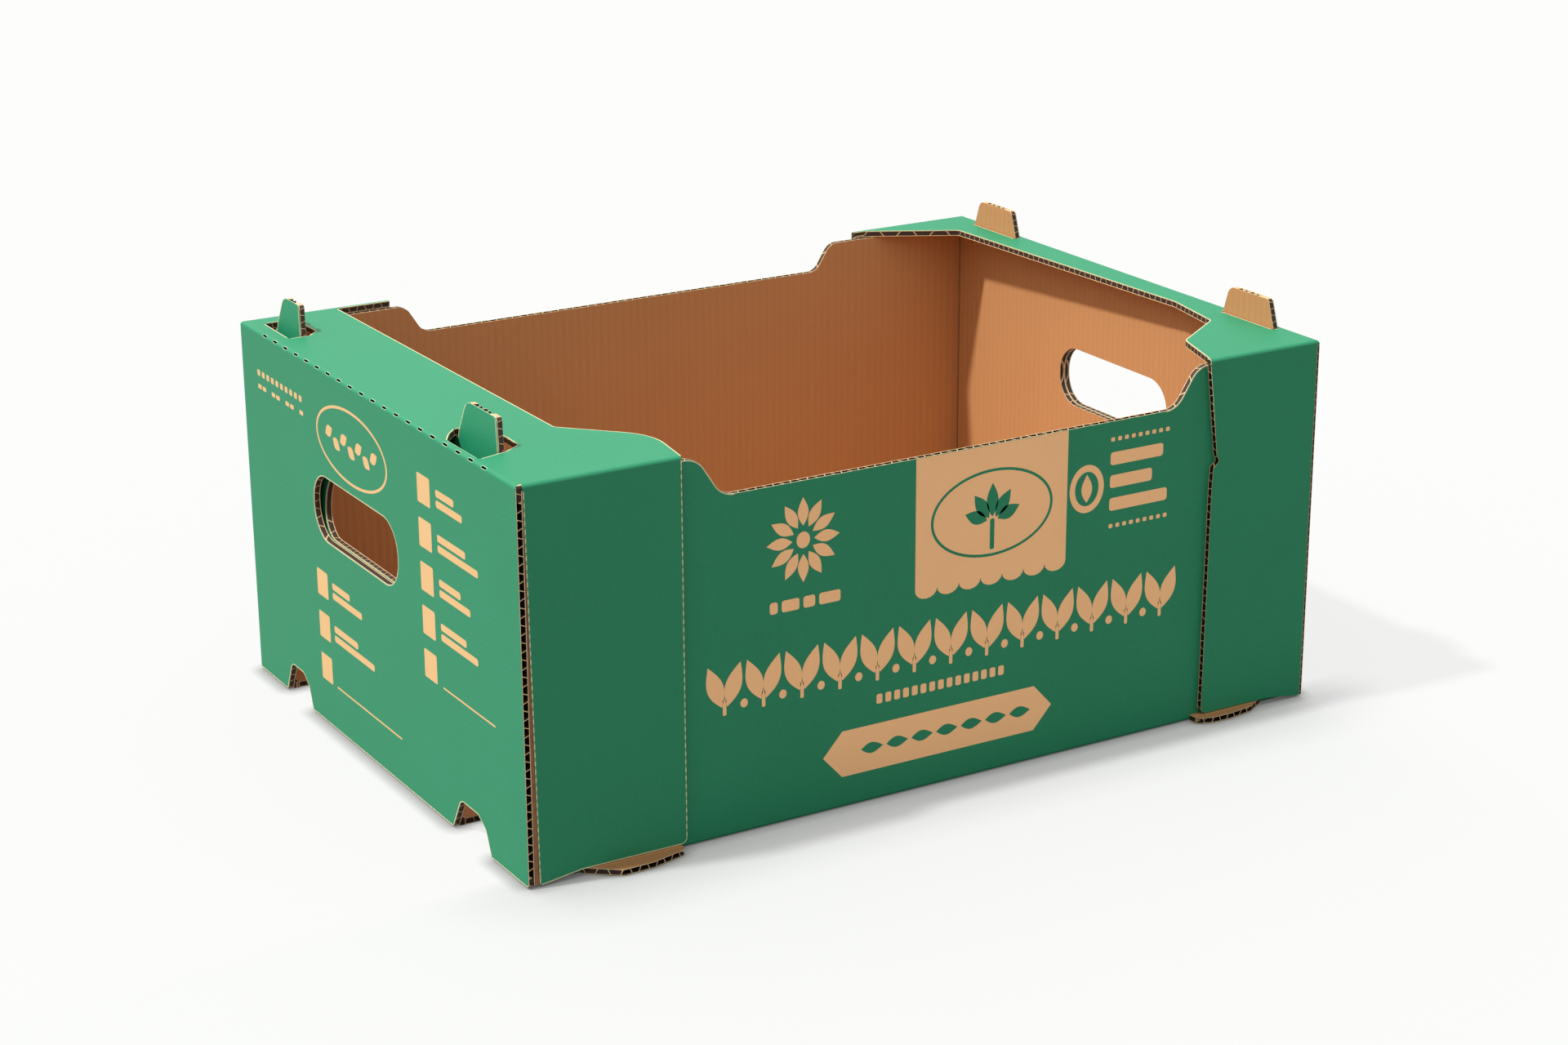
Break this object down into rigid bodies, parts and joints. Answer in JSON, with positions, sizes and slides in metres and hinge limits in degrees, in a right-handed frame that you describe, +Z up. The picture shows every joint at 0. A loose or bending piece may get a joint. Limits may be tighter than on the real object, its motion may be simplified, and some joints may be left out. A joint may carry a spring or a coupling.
{
  "type": "corrugated cardboard tray box",
  "caption": "Open corrugated-board tray with double ends, ledges, hand holes, stacking tabs and stacking notches.",
  "frame": {"origin": "bottom centre of the tray, on the plane that it stands on", "axes": "+X along the tray's length from the wide-ledged end to the narrow-ledged end, +Y from the front wall to the back wall, +Z up"},
  "size_m": [0.42, 0.3174, 0.1935],
  "materials": {
    "tray_board": "matt uncoated kraft liner, green flexographic print outside",
    "cap_board": "matt green flexographic print on kraft liner"
  },
  "bodies": {
    "root": {"tray_body": "tray_board", "left_end_cap": "cap_board", "right_end_cap": "cap_board"}
  },
  "joints": []
}
